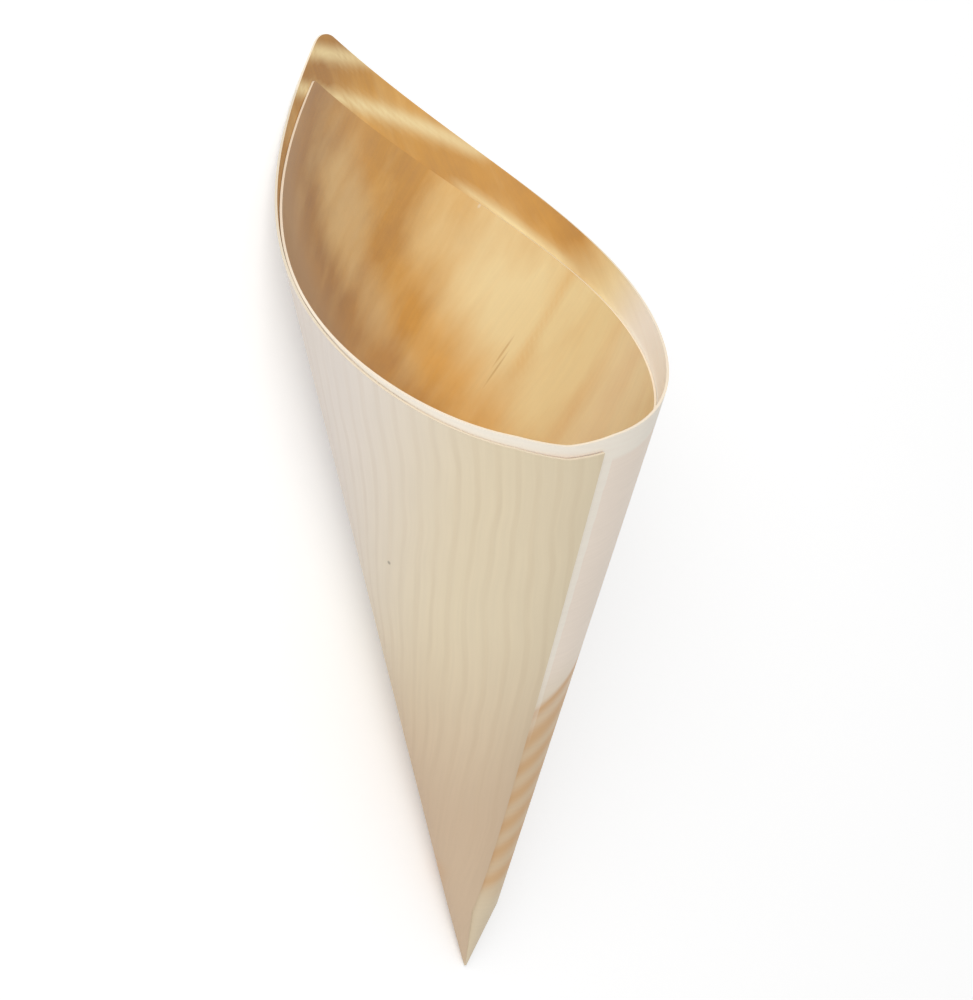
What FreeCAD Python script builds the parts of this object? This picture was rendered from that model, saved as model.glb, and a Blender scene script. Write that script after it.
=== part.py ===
import FreeCAD, Part
import os
from math import asin, atan2, ceil, cos, hypot, pi, radians, sin, sqrt

# A food cone rolled from one sheet of thin wood veneer, in millimetres.
# The sheet is an almost rectangular piece, twice as long as it is deep, rolled about the
# middle of one long side. That middle becomes the tip. The sheet winds about two turns,
# so its two far corners come to lie behind each other as the two peaks of the mouth.
# Azimuths are in degrees about the roll's axis, counted from the middle of the lap.

# The flat sheet, measured from the point that becomes the tip
sheet_depth = 131.4            # out to the far long edge, which makes the low side of the mouth
inner_reach = 125.8            # out to the short edge that the roll starts with
outer_reach = 128.5            # out to the short edge that the roll ends with
inner_corner_angle = 91.6      # as the blade left it, a little off square
outer_corner_angle = 87.1
inner_corner_radius = 1.2      # a crisp corner
outer_corner_radius = 3.2      # a corner that handling has blunted
inner_free_direction = 0.3     # of the near long edge, from the line square to the short edge
outer_free_direction = 179.3
near_edge_miss = 3.0           # by which the near long edge passes beside the tip
veneer_thickness = 0.5

# The roll
half_angle = 14.17             # of the first turn, from the axis to the middle of the veneer
oval_swing = 0.67              # added towards the lap and the peaks, taken off between them
egg_swing = 0.28               # added towards the lap, taken off towards the peaks
turn_clearance = 0.3           # air between one turn and the next
first_azimuth = 9.6            # of the line from the tip square to the first short edge

# The point, where the turns are pressed and glued into one solid tip
point_height = 15.0            # from the tip up to the level where the turns part
point_shift = 1.1              # of the tip, sideways off the axis
point_azimuth = 233.6
tip_bluntness = 0.1            # width of the very tip, as a share of the width where turns part

# How finely the curves are drawn
azimuth_step = 10.0            # between two points of a spiral curve
border_levels = [(step / 8) ** 2 for step in range(9)]    # points of a free edge, foot to rim

turn_pitch = veneer_thickness + turn_clearance
inner_face = -veneer_thickness / 2
outer_face = veneer_thickness / 2


def wall_angle(azimuth):
    """Half angle of the roll in one direction, in radians: an oval with one blunter end."""
    turn = radians(azimuth)
    return radians(half_angle + oval_swing * cos(2 * turn) + egg_swing * cos(3 * turn))


def turn_offset(azimuth):
    """How far the winding has moved a turn outwards from the first one."""
    return turn_pitch * (azimuth - first_azimuth) / 360.0


def wall_point(azimuth, reach, depth):
    """A point of the rolled sheet: reach along the wall, depth out from the middle of the veneer."""
    angle = wall_angle(azimuth)
    offset = turn_offset(azimuth) + depth
    radius = reach * sin(angle) + offset * cos(angle)
    height = reach * cos(angle) - offset * sin(angle)
    turn = radians(azimuth)
    return FreeCAD.Vector(radius * cos(turn), radius * sin(turn), height)


def foot_point(azimuth, depth):
    """The point of a wall line at the level where the turns part."""
    angle = wall_angle(azimuth)
    offset = turn_offset(azimuth) + depth
    return wall_point(azimuth, (point_height + offset * sin(angle)) / cos(angle), depth)


def sheet_angle(azimuth):
    """Flat angle of sheet, in radians, that the winding has used from azimuth zero."""
    turn = radians(azimuth)
    slope = radians(half_angle)
    swings = radians(oval_swing) * sin(2 * turn) / 2 + radians(egg_swing) * sin(3 * turn) / 3
    wound = radians(azimuth - first_azimuth)
    growth = turn_pitch * wound ** 2 / (4 * pi * sheet_depth)
    return sin(slope) * turn + cos(slope) * (swings + growth)


def flat_angle(azimuth):
    """Flat angle from the line square to the first short edge."""
    return sheet_angle(azimuth) - sheet_angle(first_azimuth)


def azimuth_at(angle):
    """The azimuth where the winding has used that flat angle, found by halving."""
    low = first_azimuth - 180.0
    high = first_azimuth + 1440.0
    for _ in range(60):
        middle = (low + high) / 2
        if flat_angle(middle) < angle:
            low = middle
        else:
            high = middle
    return (low + high) / 2


def cut_edges():
    """The three edges that make the rim, in the flat: direction square to each, and distance."""
    inner_direction = 0.0
    far_direction = inner_direction + pi - radians(inner_corner_angle)
    outer_direction = far_direction + pi - radians(outer_corner_angle)
    return [(inner_direction, inner_reach), (far_direction, sheet_depth),
            (outer_direction, outer_reach)]


def straight_rim(edge):
    """Reach of a straight cut edge as a function of the flat angle."""
    direction, distance = edge
    return lambda angle: distance / cos(angle - direction)


def rounded_corner(first, second, radius):
    """The round between two cut edges: the azimuths where it starts and ends, and its reach."""
    turn = second[0] - first[0]
    first_distance = first[1] - radius
    second_distance = second[1] - radius
    along = (second_distance - first_distance * cos(turn)) / sin(turn)
    centre_reach = hypot(first_distance, along)
    centre_angle = first[0] + atan2(along, first_distance)

    def touching_angle(edge):
        across = centre_reach * sin(centre_angle - edge[0])
        return edge[0] + atan2(across, edge[1])

    def reach(angle):
        aside = centre_reach * sin(angle - centre_angle)
        return centre_reach * cos(angle - centre_angle) + sqrt(radius ** 2 - aside ** 2)

    return azimuth_at(touching_angle(first)), azimuth_at(touching_angle(second)), reach


def free_edge(direction):
    """Azimuth of the near long edge, from the foot (level 0) to the rim (level 1)."""
    def azimuth(level):
        reach = point_height + level * (outer_reach - point_height)
        return azimuth_at(radians(direction) - asin(near_edge_miss / reach))
    return azimuth


def steady(azimuth):
    """A border that keeps its azimuth from the foot to the rim."""
    return lambda level: azimuth


def wall_stretches():
    """The wall from one free edge to the other: its two borders and rim reach, part by part."""
    inner, far, outer = cut_edges()
    first_start, first_end, first_round = rounded_corner(inner, far, inner_corner_radius)
    second_start, second_end, second_round = rounded_corner(far, outer, outer_corner_radius)
    inner_free = free_edge(inner_free_direction)
    outer_free = free_edge(outer_free_direction)
    covered = steady(outer_free(0.0) - 360.0)
    return [(inner_free, steady(first_start), straight_rim(inner)),
            (steady(first_start), steady(first_end), first_round),
            (steady(first_end), covered, straight_rim(far)),
            (covered, steady(second_start), straight_rim(far)),
            (steady(second_start), steady(second_end), second_round),
            (steady(second_end), outer_free, straight_rim(outer))]


def wall_surface(low, high, reach, depth):
    """The surface of straight wall lines between two azimuths, from foot to rim."""
    count = max(4, ceil((high - low) / azimuth_step))
    places = [step / count for step in range(count + 1)]
    azimuths = [low + (high - low) * place for place in places]
    rim_points = [wall_point(azimuth, reach(flat_angle(azimuth)), depth) for azimuth in azimuths]
    foot_points = [foot_point(azimuth, depth) for azimuth in azimuths]
    edges = []
    for points in (foot_points, rim_points):
        curve = Part.BSplineCurve()
        curve.interpolate(Points=points, Parameters=places)
        edges.append(curve.toShape())
    return skin_between(edges[0], edges[1]).Surface


def wall_side(stretch, depth):
    """One side of the veneer along a stretch: its face, foot, rim, start and end border."""
    start_at, end_at, reach = stretch
    low = min(start_at(0.0), start_at(1.0))
    high = max(end_at(0.0), end_at(1.0))
    surface = wall_surface(low, high, reach, depth)

    def place(azimuth, level):
        return FreeCAD.Base.Vector2d((azimuth - low) / (high - low), level)

    def drawn(places):
        curve = Part.Geom2d.BSplineCurve2d()
        curve.interpolate(Points=places)
        return curve.toShape(surface)

    foot = drawn([place(start_at(0.0), 0.0), place(end_at(0.0), 0.0)])
    end = drawn([place(end_at(level), level) for level in border_levels])
    rim = drawn([place(end_at(1.0), 1.0), place(start_at(1.0), 1.0)])
    start = drawn([place(start_at(level), level) for level in reversed(border_levels)])
    outline = Part.Wire([foot, end, rim, start])
    return Part.Face(surface, outline), foot, rim, start, end


def ends(edge):
    """First and last point of an edge."""
    return edge.valueAt(edge.FirstParameter), edge.valueAt(edge.LastParameter)


def line_between(first, second):
    return Part.LineSegment(first, second).toShape()


def skin_between(first, second):
    """The face of straight lines that joins two edges, start to start."""
    same_direction = 1
    return Part.makeRuledSurface(first, second, same_direction)


def sheet_faces():
    """Both faces, the rim and the free edges of the rolled sheet, with its foot edges."""
    stretches = wall_stretches()
    inner_sides = [wall_side(stretch, inner_face) for stretch in stretches]
    outer_sides = [wall_side(stretch, outer_face) for stretch in stretches]
    faces = [side[0] for side in inner_sides + outer_sides]
    for inner_side, outer_side in zip(inner_sides, outer_sides):
        faces.append(skin_between(inner_side[2], outer_side[2]))
    faces.append(skin_between(inner_sides[0][3], outer_sides[0][3]))
    faces.append(skin_between(inner_sides[-1][4], outer_sides[-1][4]))
    return faces, [side[1] for side in inner_sides], [side[1] for side in outer_sides]


def drawn_small(edges, tip):
    """The outline of the point where the turns part, drawn small at the very tip."""
    small_edges = []
    for edge in edges:
        small = edge.copy()
        small.translate(FreeCAD.Vector(0, 0, -point_height))
        small.scale(tip_bluntness)
        small.translate(tip)
        small_edges.append(small)
    return small_edges


def closed_face(edges):
    """The flat face inside a ring of edges."""
    return Part.Face(Part.Wire(Part.__sortEdges__(edges)))


def point_faces(inner_feet, outer_feet):
    """The solid point: its floor between the turns, its flanks and its very tip."""
    hidden = outer_feet[:3]
    bare = outer_feet[3:]
    start_line = line_between(ends(inner_feet[0])[0], ends(outer_feet[0])[0])
    gap_line = line_between(ends(bare[0])[0], ends(inner_feet[-1])[1])
    end_line = line_between(ends(inner_feet[-1])[1], ends(outer_feet[-1])[1])
    floor = closed_face([start_line, gap_line] + hidden + inner_feet)
    outline = bare + [gap_line, end_line]
    turn = radians(point_azimuth)
    tip = FreeCAD.Vector(point_shift * cos(turn), point_shift * sin(turn), 0)
    small_outline = drawn_small(outline, tip)
    flanks = [skin_between(wide, small) for wide, small in zip(outline, small_outline)]
    return [floor, closed_face(small_outline)] + flanks


def rolled_cone():
    """The whole roll as one solid, standing on its tip with the axis upright."""
    faces, inner_feet, outer_feet = sheet_faces()
    shell = Part.makeCompound(faces + point_faces(inner_feet, outer_feet))
    shell.sewShape(1e-4)
    solid = Part.Solid(shell.Shells[0])
    if solid.Volume < 0:
        solid.reverse()
    return solid


def wall_directions(azimuth):
    """Along the outer face towards the rim, and square out of it."""
    foot = foot_point(azimuth, outer_face)
    along = wall_point(azimuth, sheet_depth, outer_face) - foot
    ahead = wall_point(azimuth + 1.0, sheet_depth, outer_face)
    behind = wall_point(azimuth - 1.0, sheet_depth, outer_face)
    outward = (ahead - behind).cross(along)
    return along.normalize(), outward.normalize()


def resting_azimuth(centre):
    """The wall line that the roll lies on: where its centre of mass comes lowest."""
    def centre_height(azimuth):
        return wall_directions(azimuth)[1].dot(foot_point(azimuth, outer_face) - centre)

    last = free_edge(outer_free_direction)(0.0)
    return min((last - step / 2 for step in range(720)), key=centre_height)


def laid_down(solid):
    """The roll at rest on the floor, peaks down and mouth towards +X, middle at the origin."""
    along, outward = wall_directions(resting_azimuth(solid.CenterOfMass))
    up = outward * -1
    turned = FreeCAD.Rotation(along, up.cross(along), up, "ZXY").inverted()
    laid = solid.copy()
    laid.Placement = FreeCAD.Placement(FreeCAD.Vector(0, 0, 0), turned)
    box = laid.optimalBoundingBox(False)
    laid.translate(FreeCAD.Vector(-box.Center.x, -box.Center.y, -box.ZMin))
    return laid


os.makedirs("parts", exist_ok=True)
laid_down(rolled_cone()).exportStep("parts/veneer_cone.step")
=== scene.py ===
import bpy
from math import asin, atan2, copysign, cos, degrees, exp, hypot, inf, pi, radians, sin, sqrt
from mathutils import Matrix, Vector


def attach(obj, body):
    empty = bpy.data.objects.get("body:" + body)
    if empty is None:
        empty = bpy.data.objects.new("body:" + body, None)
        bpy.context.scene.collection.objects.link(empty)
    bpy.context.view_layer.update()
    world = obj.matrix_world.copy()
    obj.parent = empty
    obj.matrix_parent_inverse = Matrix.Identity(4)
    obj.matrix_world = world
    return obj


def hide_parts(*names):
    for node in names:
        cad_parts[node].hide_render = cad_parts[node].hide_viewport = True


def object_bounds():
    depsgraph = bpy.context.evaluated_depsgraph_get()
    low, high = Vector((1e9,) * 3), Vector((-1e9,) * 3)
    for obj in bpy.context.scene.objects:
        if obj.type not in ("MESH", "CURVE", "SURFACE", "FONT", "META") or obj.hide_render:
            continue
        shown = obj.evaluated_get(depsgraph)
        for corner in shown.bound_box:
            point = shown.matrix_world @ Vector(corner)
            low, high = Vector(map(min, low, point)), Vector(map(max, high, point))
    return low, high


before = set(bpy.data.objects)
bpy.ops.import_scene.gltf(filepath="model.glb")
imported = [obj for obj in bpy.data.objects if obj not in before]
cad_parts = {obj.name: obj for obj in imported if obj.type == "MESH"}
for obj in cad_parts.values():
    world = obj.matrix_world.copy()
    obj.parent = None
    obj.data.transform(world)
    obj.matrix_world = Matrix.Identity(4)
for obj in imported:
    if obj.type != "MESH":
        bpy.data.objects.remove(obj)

# A food cone rolled from one sheet of thin pine veneer, lying on a pale floor. Metres.
# The sheet is a grid in the flat, wound into the cone and then given its thickness.
cad_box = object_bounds()

# The flat sheet, from the point that becomes the tip. Directions and corners in degrees.
sheet_depth = 0.1314
inner_reach = 0.1258           # the half of the near edge that the roll starts with
outer_reach = 0.1285           # the half that it ends with, seen as the lap line
inner_corner_angle = 91.6
outer_corner_angle = 87.1
inner_corner_radius = 0.0005
outer_corner_radius = 0.0032
inner_free_direction = 0.3
outer_free_direction = 179.3
near_edge_miss = 0.0030        # by which the near edge runs beside the tip
veneer_thickness = 0.0005

# The roll: azimuths in degrees about its axis, from the middle of the lap
half_angle = 14.17             # of the cone
oval_swing = 0.67              # of the half angle, twice a turn
egg_swing = 0.28               # of the half angle, three times a turn
turn_pitch = 0.0008            # from one turn to the next
first_azimuth = 9.6
resting_azimuth = 553.5        # the wall line that the roll lies on

# The pressed point
point_height = 0.015
point_shift = 0.0011           # of the tip, off the axis
point_azimuth = 233.6
tip_bluntness = 0.05           # the tip's width, as a share of the point's foot
tip_closing = 0.001            # the same share at the very end, which closes the tip

# What the hand left: the turns lie closer than they were wound, and a crease dents the rim
turn_hug = 0.0002              # by which the first turn presses out against the second
hug_fade = (325, 395)          # azimuths over which that ends
crease_azimuth = 348.0
crease_width = 16.0            # degrees to each side
crease_start = 200.0           # the sheet's first part, before this, has none
crease_dip = 0.0010            # of the rim, at the crease
crease_depth = 0.00012

# How finely the sheet is divided
column_step = 1.5              # degrees
corner_step = column_step / 4
seam_step = 0.4                # near the lap, where the second turn starts over the first
seam_ends = (352.0, 372.0)
wall_rows = 68
row_crowding = 1.6             # rows crowd towards the rim
point_rows = 10
least_columns = 4              # of a stretch
edge_spread = 3.85             # degrees of winding to one degree of flat sheet, at the lap
halvings = 60                  # of the search for an azimuth


def wall_angle(azimuth):
    """The cone's half angle there, which swings a little because the roll isn't round."""
    turn = radians(azimuth)
    return radians(half_angle + oval_swing * cos(2 * turn) + egg_swing * cos(3 * turn))


def soft(value, low, high):
    """0 below low, 1 above high, with a soft step between."""
    share = min(max((value - low) / (high - low), 0.0), 1.0)
    return share * share * (3 - 2 * share)


def ridge(distance, width):
    """1 on a line, fading to both sides."""
    return exp(-(distance / width) ** 2)


def crease(azimuth):
    """1 on the crease, falling straight to 0 on both sides, in either turn."""
    aside = abs((azimuth - crease_azimuth + 180) % 360 - 180)
    return max(0.0, 1 - aside / crease_width) if azimuth > crease_start else 0.0


def turn_offset(azimuth):
    """How far the middle of the veneer stands out from the cone that the roll starts on."""
    hug = turn_hug * (1 - soft(azimuth, *hug_fade))
    return turn_pitch * (azimuth - first_azimuth) / 360.0 + hug


def wall_point(azimuth, reach, depth=0.0):
    """Point of the standing roll, depth outside the middle of the veneer."""
    angle = wall_angle(azimuth)
    offset = turn_offset(azimuth) + depth
    radius = reach * sin(angle) + offset * cos(angle)
    height = reach * cos(angle) - offset * sin(angle)
    turn = radians(azimuth)
    return Vector((radius * cos(turn), radius * sin(turn), height))


def foot_reach(azimuth, depth=0.0):
    """Reach at which the wall meets the point."""
    angle = wall_angle(azimuth)
    return (point_height + (turn_offset(azimuth) + depth) * sin(angle)) / cos(angle)


def sheet_angle(azimuth):
    """How far the flat sheet has turned about the tip when the roll has turned by azimuth."""
    turn = radians(azimuth)
    slope = radians(half_angle)
    swings = radians(oval_swing) * sin(2 * turn) / 2 + radians(egg_swing) * sin(3 * turn) / 3
    wound = radians(azimuth - first_azimuth)
    growth = turn_pitch * wound ** 2 / (4 * pi * sheet_depth)
    return sin(slope) * turn + cos(slope) * (swings + growth)


def flat_angle(azimuth):
    """Direction on the flat sheet, in radians."""
    return sheet_angle(azimuth) - sheet_angle(first_azimuth)


def azimuth_at(angle):
    """The azimuth that has this flat angle."""
    low = first_azimuth - 180.0
    high = first_azimuth + 1440.0
    for _ in range(halvings):
        middle = (low + high) / 2
        if flat_angle(middle) < angle:
            low = middle
        else:
            high = middle
    return (low + high) / 2


def straight_rim(edge):
    """Reach of a straight edge, which is given by the direction square to it and its distance."""
    direction, distance = edge
    return lambda angle: distance / cos(angle - direction)


def rounded_corner(first, second, radius):
    """Azimuths where the rounding of two edges' corner starts and ends, and its reach."""
    turn = second[0] - first[0]
    first_distance = first[1] - radius
    second_distance = second[1] - radius
    along = (second_distance - first_distance * cos(turn)) / sin(turn)
    centre_reach = hypot(first_distance, along)
    centre_angle = first[0] + atan2(along, first_distance)

    def touching_angle(edge):
        """Flat angle at which the rounding meets an edge."""
        across = centre_reach * sin(centre_angle - edge[0])
        return edge[0] + atan2(across, edge[1])

    def reach(angle):
        """Reach of the rounding at a flat angle."""
        aside = centre_reach * sin(angle - centre_angle)
        return centre_reach * cos(angle - centre_angle) + sqrt(radius ** 2 - aside ** 2)

    return azimuth_at(touching_angle(first)), azimuth_at(touching_angle(second)), reach


def free_edge(direction, reach):
    """Azimuth of a half of the near edge, which runs beside the tip."""
    return azimuth_at(radians(direction) - asin(near_edge_miss / reach))


def sheet_stretches():
    """The sheet's stretches: first and last azimuth (None is a free edge), rim reach, step."""
    inner = (0.0, inner_reach)
    far = (inner[0] + pi - radians(inner_corner_angle), sheet_depth)
    outer = (far[0] + pi - radians(outer_corner_angle), outer_reach)
    first_start, first_end, first_round = rounded_corner(inner, far, inner_corner_radius)
    second_start, second_end, second_round = rounded_corner(far, outer, outer_corner_radius)
    return [(None, first_start, straight_rim(inner), column_step),
            (first_start, first_end, first_round, corner_step),
            (first_end, seam_ends[0], straight_rim(far), column_step),
            (seam_ends[0], seam_ends[1], straight_rim(far), seam_step),
            (seam_ends[1], second_start, straight_rim(far), column_step),
            (second_start, second_end, second_round, corner_step),
            (second_end, None, straight_rim(outer), column_step)]


def border(azimuth, direction, level):
    """A stretch's border: its own azimuth, or the free edge at that level."""
    if azimuth is not None:
        return azimuth
    return free_edge(direction, point_height + level * (outer_reach - point_height))


def column_places(stretches):
    """For each column: its stretch and its place across it, from 0 to 1."""
    places = []
    for number, (start, end, _, step) in enumerate(stretches):
        low = border(start, inner_free_direction, 1.0)
        high = border(end, outer_free_direction, 1.0)
        count = max(least_columns, round((high - low) / step))
        first = 0 if number == 0 else 1
        places += [(number, part / count) for part in range(first, count + 1)]
    return places


def row_levels():
    """Levels from the rim (1) to the foot (0) and through the point to the tip (-1), twice."""
    levels = [1.0 - (row / wall_rows) ** row_crowding for row in range(wall_rows + 1)]
    levels += [-(row + 1) / point_rows for row in range(point_rows)]
    return levels + [-1.0]


def rolled_grid(stretches, places, levels):
    """For every vertex: its point in the middle of the veneer, azimuth, reach and narrowing."""
    tip_shift = Vector((cos(radians(point_azimuth)), sin(radians(point_azimuth)), 0)) * point_shift
    points = []
    azimuths = []
    reaches = []
    shares = []
    for row, level in enumerate(levels):
        last = row == len(levels) - 1
        wall_level = max(level, 0.0)
        for number, place in places:
            start, end, rim, _ = stretches[number]
            low = border(start, inner_free_direction, wall_level)
            high = border(end, outer_free_direction, wall_level)
            azimuth = low + (high - low) * place
            angle = flat_angle(azimuth)
            foot = foot_reach(azimuth)
            top = rim(angle) - crease_dip * crease(azimuth)
            reach = foot + (top - foot) * wall_level
            point = wall_point(azimuth, reach, crease_depth * crease(azimuth) * wall_level)
            share = 1.0
            if level < 0:
                share = tip_closing if last else 1 + level * (1 - tip_bluntness)
                spot = wall_point(azimuth, foot)
                point = Vector((spot.x * share, spot.y * share, 0)) + tip_shift * -level
                point.z = point_height * (1 + level)
                reach = foot * (1 + level)
            points.append(point)
            azimuths.append(azimuth)
            reaches.append(reach)
            shares.append(share)
    return points, azimuths, reaches, shares


def wall_directions(azimuth):
    """Along the outer face towards the rim, and square out of it."""
    depth = veneer_thickness / 2
    foot = wall_point(azimuth, foot_reach(azimuth, depth), depth)
    along = wall_point(azimuth, sheet_depth, depth) - foot
    ahead = wall_point(azimuth + 1.0, sheet_depth, depth)
    behind = wall_point(azimuth - 1.0, sheet_depth, depth)
    outward = (ahead - behind).cross(along)
    return along.normalized(), outward.normalized()


def lying_turn():
    """The turn from standing on the tip to lying on the resting line, mouth towards +X."""
    along, outward = wall_directions(resting_azimuth)
    up = -outward
    return Matrix((along, up.cross(along), up))


def rolled_sheet():
    """The veneer sheet, wound into the cone, and each vertex's azimuth and reach."""
    stretches = sheet_stretches()
    places = column_places(stretches)
    levels = row_levels()
    points, azimuths, reaches, shares = rolled_grid(stretches, places, levels)
    columns = len(places)
    rows = len(levels)
    bpy.ops.object.select_all(action="DESELECT")
    bpy.ops.mesh.primitive_grid_add(x_subdivisions=columns - 1, y_subdivisions=rows - 1, size=2)
    sheet = bpy.context.object
    sheet.name = "rolled_veneer"
    mesh = sheet.data
    mesh.name = "rolled_veneer"
    mesh.uv_layers[0].name = "flat_sheet"
    turn = lying_turn()
    index = []
    for vertex in mesh.vertices:
        column = round((vertex.co.x + 1) / 2 * (columns - 1))
        row = round((1 - vertex.co.y) / 2 * (rows - 1))
        index.append(row * columns + column)
    group = sheet.vertex_groups.new(name="narrowing")
    for vertex, number in zip(mesh.vertices, index):
        vertex.co = turn @ points[number]
        group.add([vertex.index], shares[number], "REPLACE")
    for loop in mesh.loops:
        number = index[loop.vertex_index]
        angle = flat_angle(azimuths[number])
        flat = (reaches[number] * cos(angle), reaches[number] * sin(angle))
        mesh.uv_layers[0].data[loop.index].uv = flat
    mesh.update()
    return sheet, [azimuths[number] for number in index], [reaches[number] for number in index]


def thickened(sheet):
    """Gives the sheet its thickness, half to each side, less of it in the point."""
    wall = sheet.modifiers.new("thickness", "SOLIDIFY")
    wall.thickness = veneer_thickness
    wall.offset = 0.0
    wall.vertex_group = "narrowing"
    wall.use_rim = True
    bpy.context.view_layer.objects.active = sheet
    bpy.ops.object.modifier_apply(modifier=wall.name)


def laid_in_place(sheet):
    """Moves the mesh onto the CAD box's middle and takes off what stands out of that box."""
    spans = list(zip(*[vertex.co for vertex in sheet.data.vertices]))
    low, high = cad_box
    middle = Vector([(max(span) + min(span)) / 2 for span in spans])
    trim = [min(1.0, (top - bottom) / (max(span) - min(span)))
            for span, bottom, top in zip(spans, low, high)]
    centre = (Vector(low) + Vector(high)) / 2
    sheet.data.transform(Matrix.Translation(centre) @ Matrix.Diagonal(trim).to_4x4()
                         @ Matrix.Translation(-middle))
    return centre - middle


# What the finish follows on the sheet, in metres
least_reach = 0.006            # nearer the tip, the free edges are taken as they are here
cover_fade = (-0.0003, 0.0006)  # round the edge of another turn
through_light_reach = (0.055, 0.085)    # over which a turn with no other behind it is painted paler, as light shining through it
shaded_rim_azimuth = 560          # from here on, the rim's cut edge is painted darker, as a painted shade line
shaded_rim_reach = 0.12           # above this; the free edge below it is cream
shaded_rim = 0.5                  # the cut edge's mark there, and elsewhere on the cut
cream_rim = 1.0
smooth_angle = 40              # degrees

# From here on, x and y of the flat sheet are in millimetres: x from the tip along the half
# of the near edge that the roll starts with, y towards the far edge
millimetres = 1000.0           # in a metre

# How the grain runs: it bends and spreads in the half of the sheet where x is negative
grain_bend = 0.0007
grain_spread = 0.00002
inside_shift = 7.0             # so that the two faces don't show the same fibres


def rim_reach(azimuth, stretches, ends):
    """Reach of the rim at an azimuth of the winding, and nothing outside the sheet."""
    if not ends[0] < azimuth < ends[1]:
        return 0.0
    for _, end, rim, _ in stretches:
        if end is None or azimuth < end:
            return rim(flat_angle(azimuth))


def covered(azimuth, reach, stretches, ends, change):
    """How far another turn lies behind or before this place, 0 to 1."""
    missed = degrees(near_edge_miss / max(reach, least_reach)) * edge_spread
    over = rim_reach(azimuth + change, stretches, (ends[0] - missed, ends[1] - missed)) - reach
    return soft(over, *cover_fade)


# Middle lines of the two heartwood bands
brown_band = [(78, 0), (85, 72), (87.7, 84), (89, 90.7), (92.3, 99), (95.7, 106.5),
              (100.7, 114.8), (109, 121.5), (117, 124), (127, 126)]
amber_band = [(84, 0), (91, 46), (93, 55), (94.8, 65), (98.2, 73), (102.3, 80),
              (107.3, 87.5), (111.5, 94), (118, 98.5), (127, 102)]
plain_amber = 0.3              # of the gold wood deep in the cone
plain_brown = 0.1


def off_line(line, x, y):
    """Distance from a line of straight runs that goes up to the right, positive above it."""
    nearest = inf
    for (low_x, low_y), (high_x, high_y) in zip(line, line[1:]):
        run = hypot(high_x - low_x, high_y - low_y)
        right = (high_x - low_x) / run
        rise = (high_y - low_y) / run
        along = min(max((x - low_x) * right + (y - low_y) * rise, 0.0), run)
        off = hypot(x - low_x - right * along, y - low_y - rise * along)
        if off < abs(nearest):
            nearest = copysign(off, right * (y - low_y) - rise * (x - low_x))
    return nearest


def mouth_figure(x, y):
    """The heartwood figure on the wall that faces the mouth: two slanting bands, with a painted
    highlight and some painted shade.
    """
    brown_off = off_line(brown_band, x, y)
    amber_off = off_line(amber_band, x, y)
    ground = 0.04 + 0.28 * soft(y, 44, 84)
    above_amber = 0.36 * soft(amber_off, -3, 6)
    on_amber = (0.25 + 0.2 * soft(y, 54, 72)) * ridge(amber_off, 6 + 1.5 * soft(y, 70, 95))
    above_brown = 0.3 * soft(brown_off, -8, 0)
    # The first patch, round at x 113, y 69, is a painted highlight; the second, long one at y 54
    # is a plain paler patch
    highlight_and_pale_patches = 0.28 * ridge(x - 113, 10) * ridge(y - 69, 9)
    highlight_and_pale_patches += 0.1 * ridge(x - 110, 16) * ridge(y - 54, 5)
    low_streaks = 0.3 * ridge(y - 46, 1.6) + 0.2 * ridge(y - 37.5, 2.0)
    high_streak = 0.3 * ridge(y - 60.2 - 0.07 * (x - 100.7), 1.1) * soft(x, 98, 107)
    near_peak = 0.25 * soft(x, 112, 125) * soft(y, 74, 88)
    amber = (ground + above_amber + on_amber + above_brown - highlight_and_pale_patches + low_streaks
             + high_streak + near_peak)

    # Brown and grey darken the wall high up, above the bands: partly heartwood, partly painted
    # shade
    brown = 0.08 * soft(y, 56, 76) + 0.28 * soft(amber_off, 2, 10)
    brown += 0.4 * ridge(amber_off, 7) * soft(y, 74, 102)
    brown += 0.45 * ridge(brown_off, 6) * soft(y, 78, 102) + 0.15 * soft(brown_off, 2, 8)
    grey = (0.2 * soft(amber_off, 5, 12) + 0.6 * soft(brown_off, -2, 10)) * soft(y, 54, 84)

    # Deeper in, the figure fades to plain gold wood, and to white wood where the turn ends, which
    # is painted whiter still as light
    plain = 1 - soft(x, 58, 82) * soft(y, 4, 34)
    amber += (plain_amber - amber) * plain
    brown += (plain_brown - brown) * plain
    white = 0.2 * soft(-y, -52, -38) * (1 - plain) + soft(-x, -40, -4) * soft(y, 60, 110)
    return dict(amber=amber, brown=brown, grey=grey * (1 - plain), white=white)


def far_figure(x, y):
    """The far turn's inside, which shows above the near turn's rim: amber, with cream bands."""
    below_peak = ridge(y - 126.9 - 0.36 * (x + 118.5) + 0.004 * (x + 118.5) ** 2, 1.5)
    below_peak *= soft(-x, 86, 92)
    on_peak = ridge(y - 131.3 - 0.5 * (x + 128.5), 1.7)
    beside_peak = ridge(y - 126.2, 1.2) * soft(-x, 58, 66) * soft(x, -94, -86)
    amber = soft(-x, 50, 68) * (1 - 0.85 * max(below_peak, on_peak, beside_peak))
    return dict(amber=amber, brown=0.3 + 0.4 * soft(-x, 112, 126), white=soft(x, -56, -38))


def outside_figure(x, y, reach):
    """The outside: stripes and pinkish wood beside the lap, lightened further as painted light,
    a front that is darker low down, greyer above and lined."""
    amber = soft(reach, 17, 25) * soft(-reach, -90, -80) * soft(x, -26, -16) * soft(y, 8, 12)
    beside = soft(x / max(reach, 1), -0.4, -0.2)
    grey = soft(y, 22, 62) * soft(-x, 25, 85)
    # Pinkish wood beside the lap, painted lighter still as painted light
    white = soft(x, -50, -15) * soft(reach, 58, 82)
    low = soft(-reach, -95, -35) * (1 - 0.75 * beside)
    lines = soft(-x, 20, 55) * (1 - 0.5 * soft(y, 40, 90))
    return dict(amber=amber, white=white, low=low, grey=grey, lines=lines)


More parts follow.
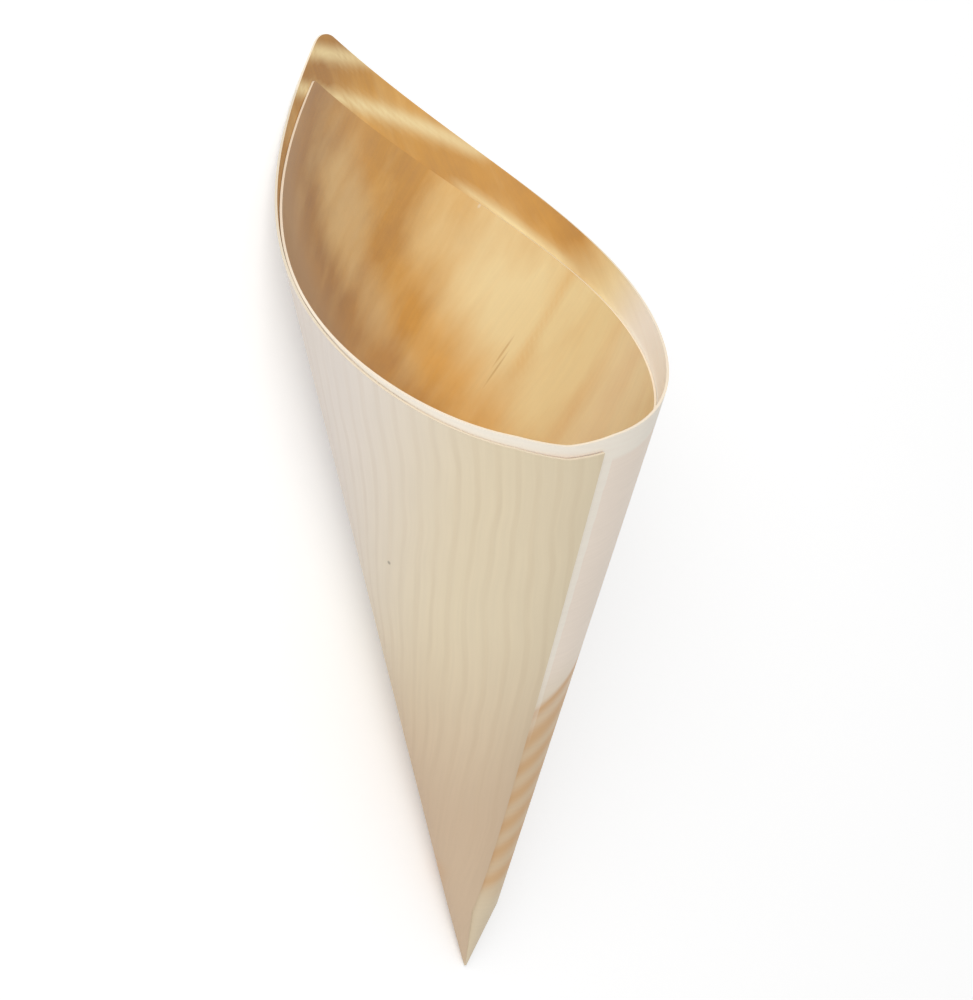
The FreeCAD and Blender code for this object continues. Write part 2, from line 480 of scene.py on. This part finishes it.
def figure(x, y, reach, inside):
    """How strongly each tone shows at a place of the flat sheet."""
    tones = dict(amber=0.0, brown=0.0, low=0.0, grey=0.0, white=0.0, lines=0.0)
    if inside and x > 0:
        tones.update(mouth_figure(x, y))
    elif inside:
        tones.update(far_figure(x, y))
    else:
        tones.update(outside_figure(x, y, reach))
    return {name: min(max(tone, 0.0), 1.0) for name, tone in tones.items()}


mark_names = ("inside", "alone", "amber", "brown", "low", "grey", "white", "lines")


def painted(sheet, azimuths, reaches):
    """Marks on the mesh what the veneer's finish follows: side, cut edges, turns and figure."""
    mesh = sheet.data
    marks = {name: [] for name in mark_names}
    grain = []
    stretches = sheet_stretches()
    ends = (azimuth_at(radians(inner_free_direction)), azimuth_at(radians(outer_free_direction)))
    turn = lying_turn()
    count = len(azimuths)      # of vertices on one side; the other side's follow them
    for vertex in mesh.vertices:
        azimuth = azimuths[vertex.index % count]
        reach = reaches[vertex.index % count]
        outward = wall_point(azimuth, 0.0, 1.0) - wall_point(azimuth, 0.0)
        inside = vertex.normal.dot(turn @ outward) < 0
        angle = flat_angle(azimuth)
        x = millimetres * reach * cos(angle)
        y = millimetres * reach * sin(angle)
        near = max(covered(azimuth, reach, stretches, ends, -360.0),
                   covered(azimuth, reach, stretches, ends, 360.0))
        tones = figure(x, y, millimetres * reach, inside)
        # alone: where a single turn is painted paler, as light shining through the thin veneer
        tones.update(inside=float(inside), alone=(1.0 - near) * soft(reach, *through_light_reach))
        for name in mark_names:
            marks[name].append(tones[name])
        far = min(x, 0.0) ** 2
        grain += [x, (y - grain_bend * far) / (1 + grain_spread * far), inside_shift * inside]
    for name in mark_names:
        mesh.attributes.new(name, "FLOAT", "POINT").data.foreach_set("value", marks[name])
    mesh.attributes.new("grain", "FLOAT_VECTOR", "POINT").data.foreach_set("vector", grain)
    cut = []
    for face in mesh.polygons:
        turns = [azimuths[number % count] for number in face.vertices]
        lowest = min(reaches[number % count] for number in face.vertices)
        # the low front rim's cut edge is painted darker: a painted shade line
        shaded_cut = min(turns) > shaded_rim_azimuth and lowest > shaded_rim_reach
        both = {number < count for number in face.vertices}
        cut.append((shaded_rim if shaded_cut else cream_rim) if len(both) == 2 else 0.0)
    mesh.attributes.new("cut_edge", "FLOAT", "FACE").data.foreach_set("value", cut)


sheet, azimuths, reaches = rolled_sheet()
thickened(sheet)
move = laid_in_place(sheet)
painted(sheet, azimuths, reaches)
bpy.ops.object.shade_smooth_by_angle(angle=radians(smooth_angle))
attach(sheet, "root")
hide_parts("veneer_cone")


def linear(hex_colour):
    """A screen colour, #rrggbb, as the linear colour that a shader takes."""
    parts = [int(hex_colour[start:start + 2], 16) / 255 for start in (1, 3, 5)]
    parts = [part / 12.92 if part <= 0.04045 else ((part + 0.055) / 1.055) ** 2.4
             for part in parts]
    return (*parts, 1.0)


def add(tree, kind, inputs, **settings):
    """Adds a node with its settings; each input is a value or another node's output."""
    new = tree.nodes.new(kind)
    for name, value in settings.items():
        setattr(new, name, value)
    for key, value in inputs.items():
        if isinstance(value, bpy.types.NodeSocket):
            tree.links.new(value, new.inputs[key])
        else:
            new.inputs[key].default_value = value
    return new


# Pine veneer, rotary cut and left unfinished: a pale satin face with fine growth lines about
# 3 mm apart, heartwood figure in broad brown and amber bands, and a bright cream cut edge.
sapwood = linear("#e9d9ba")
sapwood_low = linear("#d7bd9f")
sapwood_grey = linear("#ece2d8")
# pinkish wood, made lighter than the wood as painted light
pink_wood_and_painted_light = linear("#fbecdc")
# painted light: a single turn, paler where light shines through it
painted_through_light = linear("#fff8ea")
sapwood_amber = linear("#dba970")
growth_line = linear("#b89a74")
inner_gold = linear("#f4dfaa")
inner_amber = linear("#e0a64c")
# The next two: brown and grey heartwood, which high on the wall that faces the mouth also stand
# for painted shade
inner_brown = linear("#a27850")
grey_wood_and_painted_shade = linear("#b69b82")
# white wood, lightened further as painted light
white_wood_and_painted_light = linear("#fffaf0")
cut_edge_cream = linear("#f2e3cc")
# cut edge along the low front rim, painted darker as a shade line
cut_edge_painted_shade = linear("#e0d2bb")
bark = linear("#4a3a28")
resin = linear("#c69a5a")
satin = 0.55                   # roughness of bare, knife-cut wood
wood_ior = 1.5

# Sizes of the patterns, in millimetres
growth_line_gap = 2.992
growth_line_run = 500.0        # over which a growth line's own bends change
stripe_gap = 7.306
stripe_slant = 0.6             # of the stripes beside the lap, against the reach
stripe_top = (69.5, 71.5)      # where they start, counted along that slant
fibre_streak = (16.667, 0.6667)  # along and across; real fibres are finer and wouldn't show
rough_patch = (20.0, 6.25)     # along and across, at the edges of the figure
mottle_size = 7.6923
cloud_size = 16.667
wander_size = 33.333           # of the bends in the grain
wander_width = 2.5             # to each side
fibre_height = 0.04
wave_length = pi / 10          # of a Wave node's own bands

# Strengths of the patterns, as shares
line_start = 0.55              # of a Wave's swing, above which a growth line shows
line_strength = (0.03, 0.13)   # in the faintest and in the strongest places
line_clouds = (0.3, 0.7)       # how cloudy it is in those places
stripe_strength = (0.36, 0.78)
fibre_shade = 0.045
cloud_shade = 0.03
# of the painted light that shines through a single turn
through_light_strength = 0.8
amber_break = 0.8              # how far the amber's edges break up along the grain
brown_mottle = 0.5
brown_break = 0.35
brown_streaks = 0.35
mark_strength = 0.5
mark_core = 0.4                # the part of a mark that has its full strength
fibre_relief = 0.6             # of a growth line's
bump_strength = 0.25

# Small marks in the wood: x, y, half length, half width, colour
small_marks = [(-89.8, 39.0, 0.55, 0.5, bark), (-103.1, 85.4, 0.35, 0.3, resin),
               (104.8, 64.4, 4.4, 0.28, resin), (101.0, 63.6, 5.2, 0.24, resin),
               (125.4, 84.3, 0.6, 0.35, cut_edge_cream)]


def growth_rings(tree, grain):
    """Growth lines across the grain, narrower than the wood between them."""
    rings = add(tree, "ShaderNodeVectorMath",
                {0: grain, 1: (1 / growth_line_run, wave_length / growth_line_gap, 0.0)},
                operation="MULTIPLY").outputs[0]
    rings = add(tree, "ShaderNodeTexWave", {"Vector": rings, "Scale": 1.0, "Distortion": 1.0,
                                            "Detail": 3.0, "Detail Scale": 1.6},
                wave_type="BANDS", bands_direction="Y").outputs["Fac"]
    return add(tree, "ShaderNodeMapRange", {"Value": rings, "From Min": line_start},
               interpolation_type="SMOOTHSTEP").outputs[0]


def lap_stripes(tree, flat, shown):
    """Beside the lap, amber stripes slant across; they start on a slanting line 70 mm up."""
    reach = add(tree, "ShaderNodeVectorMath", {0: flat}, operation="LENGTH").outputs["Value"]
    along = add(tree, "ShaderNodeSeparateXYZ", {0: flat}).outputs["X"]
    slant = add(tree, "ShaderNodeMath", {0: along, 1: stripe_slant, 2: reach},
                operation="MULTIPLY_ADD").outputs[0]
    stripes = add(tree, "ShaderNodeMath", {0: slant, 1: wave_length / stripe_gap},
                  operation="MULTIPLY").outputs[0]
    stripes = add(tree, "ShaderNodeCombineXYZ", {"Y": stripes}).outputs[0]
    stripes = add(tree, "ShaderNodeTexWave", {"Vector": stripes, "Scale": 1.0,
                                              "Distortion": 1.5, "Detail": 2.0,
                                              "Detail Scale": 1.5},
                  wave_type="BANDS", bands_direction="Y").outputs["Fac"]
    stripes = add(tree, "ShaderNodeMapRange", {"Value": stripes, "To Min": stripe_strength[0],
                                               "To Max": stripe_strength[1]}).outputs[0]
    start = add(tree, "ShaderNodeMapRange", {"Value": slant, "From Min": stripe_top[0],
                                             "From Max": stripe_top[1],
                                             "To Min": 1.0, "To Max": 0.0}).outputs[0]
    stripes = add(tree, "ShaderNodeMath", {0: stripes, 1: start}, operation="MULTIPLY").outputs[0]
    return add(tree, "ShaderNodeMath", {0: stripes, 1: shown}, operation="MULTIPLY").outputs[0]


def inner_tones(tree, flat, grain, fibres, mask):
    """Shares of amber and brown: their edges break up along the grain, the brown is mottled."""
    rough = add(tree, "ShaderNodeVectorMath",
                {0: grain, 1: (1 / rough_patch[0], 1 / rough_patch[1], 1.0)},
                operation="MULTIPLY").outputs[0]
    rough = add(tree, "ShaderNodeTexNoise", {"Vector": rough, "Scale": 1.0, "Detail": 4.0})
    rough = add(tree, "ShaderNodeMath", {0: rough.outputs["Fac"], 1: -0.5},
                operation="ADD").outputs[0]
    amber = add(tree, "ShaderNodeMath", {0: rough, 1: amber_break, 2: mask["amber"]},
                operation="MULTIPLY_ADD", use_clamp=True).outputs[0]
    mottle = add(tree, "ShaderNodeTexNoise", {"Vector": flat, "Scale": 1 / mottle_size,
                                              "Detail": 3.0}).outputs["Fac"]
    mottle = add(tree, "ShaderNodeMath", {0: mottle, 1: -0.5}, operation="ADD").outputs[0]
    streaks = add(tree, "ShaderNodeMath", {0: fibres, 1: -0.5}, operation="ADD").outputs[0]
    brown = mask["brown"]
    for pattern, strength in ((mottle, brown_mottle), (rough, brown_break),
                              (streaks, brown_streaks)):
        brown = add(tree, "ShaderNodeMath", {0: pattern, 1: strength, 2: brown},
                    operation="MULTIPLY_ADD").outputs[0]
    return amber, brown


def marked(tree, flat, wood):
    """The wood with its small marks: a speck, resin flecks and a bright chip."""
    for x, y, half_length, half_width, tone in small_marks:
        away = add(tree, "ShaderNodeVectorMath", {0: flat, 1: (x, y, 0.0)},
                   operation="SUBTRACT").outputs[0]
        away = add(tree, "ShaderNodeVectorMath", {0: away, 1: (half_length, half_width, 1.0)},
                   operation="DIVIDE").outputs[0]
        away = add(tree, "ShaderNodeVectorMath", {0: away}, operation="LENGTH").outputs["Value"]
        share = add(tree, "ShaderNodeMapRange", {"Value": away, "From Min": mark_core,
                                                 "From Max": 1.0, "To Min": mark_strength,
                                                 "To Max": 0.0})
        wood = add(tree, "ShaderNodeMix", {0: share.outputs[0], 6: wood, 7: tone},
                   data_type="RGBA").outputs[2]
    return wood


def veneer_material():
    """The veneer's finish: colours laid over each other by the marks painted on the mesh."""
    material = bpy.data.materials.new("pine veneer, rotary cut")
    material.use_nodes = True
    tree = material.node_tree
    flat = add(tree, "ShaderNodeUVMap", {}, uv_map="flat_sheet").outputs["UV"]
    flat = add(tree, "ShaderNodeVectorMath", {0: flat, "Scale": millimetres},
               operation="SCALE").outputs[0]
    mask = {}
    for name in mark_names + ("cut_edge",):
        mask[name] = add(tree, "ShaderNodeAttribute", {}, attribute_name=name).outputs["Fac"]

    # The grain wanders a little to both sides
    grain = add(tree, "ShaderNodeAttribute", {}, attribute_name="grain").outputs["Vector"]
    wander = add(tree, "ShaderNodeTexNoise", {"Vector": flat, "Scale": 1 / wander_size,
                                              "Detail": 2.0}).outputs["Fac"]
    wander = add(tree, "ShaderNodeMapRange", {"Value": wander, "To Min": -wander_width,
                                              "To Max": wander_width}).outputs[0]
    wander = add(tree, "ShaderNodeCombineXYZ", {"Y": wander}).outputs[0]
    grain = add(tree, "ShaderNodeVectorMath", {0: grain, 1: wander}, operation="ADD").outputs[0]

    # Clouds, wood fibres, and growth lines that are fainter in some places than in others
    cloud = add(tree, "ShaderNodeTexNoise", {"Vector": flat, "Scale": 1 / cloud_size,
                                             "Detail": 3.0}).outputs["Fac"]
    fibres = add(tree, "ShaderNodeVectorMath",
                 {0: grain, 1: (1 / fibre_streak[0], 1 / fibre_streak[1], 1.0)},
                 operation="MULTIPLY").outputs[0]
    fibres = add(tree, "ShaderNodeTexNoise", {"Vector": fibres, "Scale": 1.0,
                                              "Detail": 4.0}).outputs["Fac"]
    rings = growth_rings(tree, grain)
    lines = add(tree, "ShaderNodeMapRange", {"Value": cloud, "From Min": line_clouds[0],
                                             "From Max": line_clouds[1],
                                             "To Min": line_strength[0],
                                             "To Max": line_strength[1]}).outputs[0]
    for share in (mask["lines"], rings):
        lines = add(tree, "ShaderNodeMath", {0: lines, 1: share}, operation="MULTIPLY").outputs[0]

    # Colours of the outside, of the inside, and of the two faces together
    stripes = lap_stripes(tree, flat, mask["amber"])
    # Painted light: a turn with no other behind it is paler, as light shines through it
    through_light = add(tree, "ShaderNodeMath", {0: mask["alone"], 1: through_light_strength},
               operation="MULTIPLY").outputs[0]
    outer = sapwood
    for share, tone in ((mask["low"], sapwood_low), (mask["grey"], sapwood_grey),
                        (mask["white"], pink_wood_and_painted_light), (stripes, sapwood_amber),
                        (through_light, painted_through_light), (lines, growth_line)):
        outer = add(tree, "ShaderNodeMix", {0: share, 6: outer, 7: tone},
                    data_type="RGBA").outputs[2]
    amber, brown = inner_tones(tree, flat, grain, fibres, mask)
    heart = add(tree, "ShaderNodeMix", {0: brown, 6: inner_amber, 7: inner_brown},
                data_type="RGBA", clamp_factor=True).outputs[2]
    inner = inner_gold
    for share, tone in ((amber, heart), (mask["grey"], grey_wood_and_painted_shade), (mask["white"], white_wood_and_painted_light)):
        inner = add(tree, "ShaderNodeMix", {0: share, 6: inner, 7: tone},
                    data_type="RGBA").outputs[2]
    wood = add(tree, "ShaderNodeMix", {0: mask["inside"], 6: outer, 7: inner},
               data_type="RGBA").outputs[2]

    # Fibres and clouds shade it, then come the small marks and the cut edge
    shade = add(tree, "ShaderNodeMapRange", {"Value": fibres, "To Min": 1 - fibre_shade,
                                             "To Max": 1 + fibre_shade}).outputs[0]
    patch = add(tree, "ShaderNodeMapRange", {"Value": cloud, "To Min": 1 - cloud_shade,
                                             "To Max": 1 + cloud_shade}).outputs[0]
    shade = add(tree, "ShaderNodeMath", {0: shade, 1: patch}, operation="MULTIPLY").outputs[0]
    wood = add(tree, "ShaderNodeVectorMath", {0: wood, "Scale": shade},
               operation="SCALE").outputs[0]
    wood = marked(tree, flat, wood)
    # The cut edge is cream, and darker along the low front rim as painted shade
    cream = add(tree, "ShaderNodeMapRange", {"Value": mask["cut_edge"], "From Min": shaded_rim,
                                             "From Max": cream_rim}).outputs[0]
    cut = add(tree, "ShaderNodeMix", {0: cream, 6: cut_edge_painted_shade, 7: cut_edge_cream},
              data_type="RGBA").outputs[2]
    cut_share = add(tree, "ShaderNodeMath", {0: mask["cut_edge"], 1: 1 / shaded_rim},
                    operation="MULTIPLY", use_clamp=True).outputs[0]
    wood = add(tree, "ShaderNodeMix", {0: cut_share, 6: wood, 7: cut},
               data_type="RGBA").outputs[2]

    # The fibres and rings stand out a little
    relief = add(tree, "ShaderNodeMath", {0: fibres, 1: fibre_relief, 2: rings},
                 operation="MULTIPLY_ADD").outputs[0]
    bump = add(tree, "ShaderNodeBump", {"Height": relief, "Strength": bump_strength,
                                        "Distance": fibre_height / millimetres})
    shader = tree.nodes["Principled BSDF"]
    tree.links.new(wood, shader.inputs["Base Color"])
    tree.links.new(bump.outputs[0], shader.inputs["Normal"])
    shader.inputs["Roughness"].default_value = satin
    shader.inputs["IOR"].default_value = wood_ior
    return material


sheet.data.materials.append(veneer_material())

# The camera, placed from the cone's own axis: it looks down into the mouth from the lap's side
view_azimuth = 323.62          # from which it looks, about the cone's axis
view_elevation = 23.809
view_roll = 2.013
view_distance = 0.850
view_aside = 0.003144
view_above = 0.092356
lens_length = 158.28
sensor_width = 36.0


def photo_camera():
    """Looks at the standing cone's axis, then is laid down with the cone."""
    facing = radians(view_azimuth + 180)
    slope = radians(view_elevation)
    roll = radians(view_roll)
    ahead = Vector((cos(facing) * cos(slope), sin(facing) * cos(slope), -sin(slope)))
    level_right = Vector((sin(facing), -cos(facing), 0))
    level_up = level_right.cross(ahead)
    right = level_right * cos(roll) + level_up * sin(roll)
    up = level_up * cos(roll) - level_right * sin(roll)
    place = right * view_aside + up * view_above - ahead * view_distance
    camera = bpy.data.objects.new("photo camera", bpy.data.cameras.new("photo camera"))
    camera.data.sensor_fit = "HORIZONTAL"
    camera.data.sensor_width = sensor_width
    camera.data.lens = lens_length
    turn = lying_turn()
    axes = Matrix((turn @ right, turn @ up, turn @ -ahead)).transposed()
    camera.matrix_world = Matrix.Translation(turn @ place + move) @ axes.to_4x4()
    bpy.context.collection.objects.link(camera)
    return camera


bpy.context.scene.camera = photo_camera()

# Floor of matt white paper
floor_width = 6.0
paper_white = linear("#f2f2f2")
paper_roughness = 0.9
paper_lift = 0.26              # added for the camera alone, so that it shows white with a shadow
white_light = (1, 1, 1, 1)
bpy.ops.object.select_all(action="DESELECT")
bpy.ops.mesh.primitive_plane_add(size=floor_width)
floor = bpy.context.object
floor.name = "floor"
paper = bpy.data.materials.new("white paper floor")
paper.use_nodes = True
tree = paper.node_tree
paper_shader = tree.nodes["Principled BSDF"]
paper_shader.inputs["Base Color"].default_value = paper_white
paper_shader.inputs["Roughness"].default_value = paper_roughness
path = add(tree, "ShaderNodeLightPath", {}).outputs
seen = path["Is Camera Ray"]
for way in ("Is Glossy Ray", "Is Transmission Ray"):
    seen = add(tree, "ShaderNodeMath", {0: seen, 1: path[way]}, operation="MAXIMUM").outputs[0]
seen = add(tree, "ShaderNodeMath", {0: seen, 1: paper_lift}, operation="MULTIPLY").outputs[0]
tree.links.new(seen, paper_shader.inputs["Emission Strength"])
paper_shader.inputs["Emission Color"].default_value = white_light
floor.data.materials.append(paper)

# Light: a soft white room, and one large softbox that looks into the mouth
room_light = 0.62
softbox_watts = 7.0
softbox_width = 0.9
softbox_place = (0.72, 0.62, 0.78)
softbox_target = Vector((0.03, 0, 0.02))
world = bpy.data.worlds.new("soft light")
world.use_nodes = True
world.node_tree.nodes["Background"].inputs["Color"].default_value = white_light
world.node_tree.nodes["Background"].inputs["Strength"].default_value = room_light
bpy.context.scene.world = world
softbox = bpy.data.objects.new("softbox", bpy.data.lights.new("softbox", "AREA"))
softbox.data.shape = "DISK"
softbox.data.size = softbox_width
softbox.data.energy = softbox_watts
softbox.location = softbox_place
facing = softbox_target - softbox.location
softbox.rotation_euler = facing.to_track_quat("-Z", "Y").to_euler()
bpy.context.collection.objects.link(softbox)
bpy.context.scene.view_settings.view_transform = "Standard"
